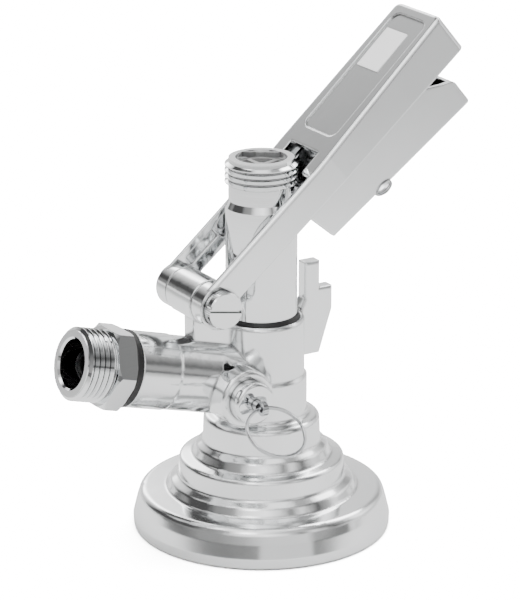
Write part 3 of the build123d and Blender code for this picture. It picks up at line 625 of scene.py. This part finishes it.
low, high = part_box("stop_screw")
screw_tip = (low + high) / 2 - lever_across * SCREW_LONG / 2
screw_tip.y = SCREW_SIDE
core = SCREW_RADIUS - SCREW_THREAD
outline = [(0, 0), (core - SCREW_THREAD, 0), (core, SCREW_THREAD)]
for ring in range(SCREW_RINGS):
    start = SCREW_THREAD + ring * SCREW_PITCH
    outline += [(SCREW_RADIUS, start + CREST_START * SCREW_PITCH),
                (SCREW_RADIUS, start + CREST_END * SCREW_PITCH), (core, start + ROOT_START * SCREW_PITCH)]
outline += [(SCREW_SHANK, outline[-1][1] + SCREW_THREAD), (SCREW_SHANK, SCREW_LONG), (0, SCREW_LONG)]
screw = turned("threaded_screw", outline, facing(screw_tip, lever_across))
screw.data.materials.append(turned_chrome)
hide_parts("stop_screw")
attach(screw, "release")
print("screw", len(screw.data.polygons), "faces")

# %% [markdown]
# ## The clip on the pin
# The far end of the hinge pin is held by a stamped clip with three teeth that grip the pin's groove and a
# wide mouth, so that it can be pushed on from the side. Its outline is one list of points round the pin,
# and the plate is that outline given a thickness.

# %% Clip
CLIP_STEPS = 96
CLIP_MOUTH = math.radians(50)
TOOTH_HALF = math.radians(16)
TOOTH_DEEP = 1.75 * MM
HOLLOW_DEEP = 0.95 * MM
pin_middle = Vector(joints["lever_hinge"]["pos_m"])
low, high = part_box("hinge_clip")
clip_outer = (high.x - low.x) / 2
clip_grip = clip_outer - TOOTH_DEEP
clip_relief = clip_outer - HOLLOW_DEEP


def clip_inner(turn):
    """The inner radius of the clip at a turn from its mouth: three teeth with hollows between them."""
    for tooth in (CLIP_MOUTH + TOOTH_HALF, math.pi, 2 * math.pi - CLIP_MOUTH - TOOTH_HALF):
        if abs(turn - tooth) <= TOOTH_HALF:
            return clip_grip
    return clip_relief


mesh = bmesh.new()
rows = []
for step in range(CLIP_STEPS + 1):
    turn = CLIP_MOUTH + (2 * math.pi - 2 * CLIP_MOUTH) * step / CLIP_STEPS
    flat = Vector((math.sin(turn), 0, math.cos(turn)))
    inner, outer = clip_inner(turn), clip_outer
    rows.append([mesh.verts.new(Vector((pin_middle.x, y, pin_middle.z)) + flat * radius)
                 for y, radius in ((low.y, inner), (low.y, outer), (high.y, outer), (high.y, inner))])
for first, second in zip(rows, rows[1:]):
    for corner in range(4):
        following = (corner + 1) % 4
        mesh.faces.new((first[corner], first[following], second[following], second[corner]))
mesh.faces.new(rows[0][::-1])
mesh.faces.new(rows[-1])
bmesh.ops.recalc_face_normals(mesh, faces=mesh.faces)
clip = new_mesh("pin_clip", [], [])
mesh.to_mesh(clip.data)
mesh.free()
clip.data.materials.append(plain_steel)
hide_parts("hinge_clip")
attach(clip, "housing")
print("clip", len(clip.data.polygons), "faces, outer radius", round(clip_outer / MM, 2), "mm")

# %% [markdown]
# ## The knurled head
# The hinge pin's head is slotted for a screwdriver and knurled round its rim for fingers. The ridges stand
# an eighth of a millimetre proud, so that they catch the light as a row of fine lines.

# %% Knurling
RIDGE_PROUD = 0.12 * MM
RIDGE_WIDTH = 0.36 * MM
RIDGE_COUNT = 54
HEAD_EDGE = 0.3 * MM
HEAD_LENGTH = 3.1 * MM
pin_low, pin_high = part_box("hinge_pin")
head_radius = (pin_high.x - pin_low.x) / 2
head_middle = (pin_low + pin_high) / 2
head_middle.y = pin_low.y + HEAD_EDGE + HEAD_LENGTH / 2
knurl = bake("knurling", ridges, turned_chrome, facing(head_middle, (0, -1, 0)), count=RIDGE_COUNT,
             radius=head_radius, depth=2 * RIDGE_PROUD, width=RIDGE_WIDTH, length=HEAD_LENGTH)
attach(knurl, "housing")
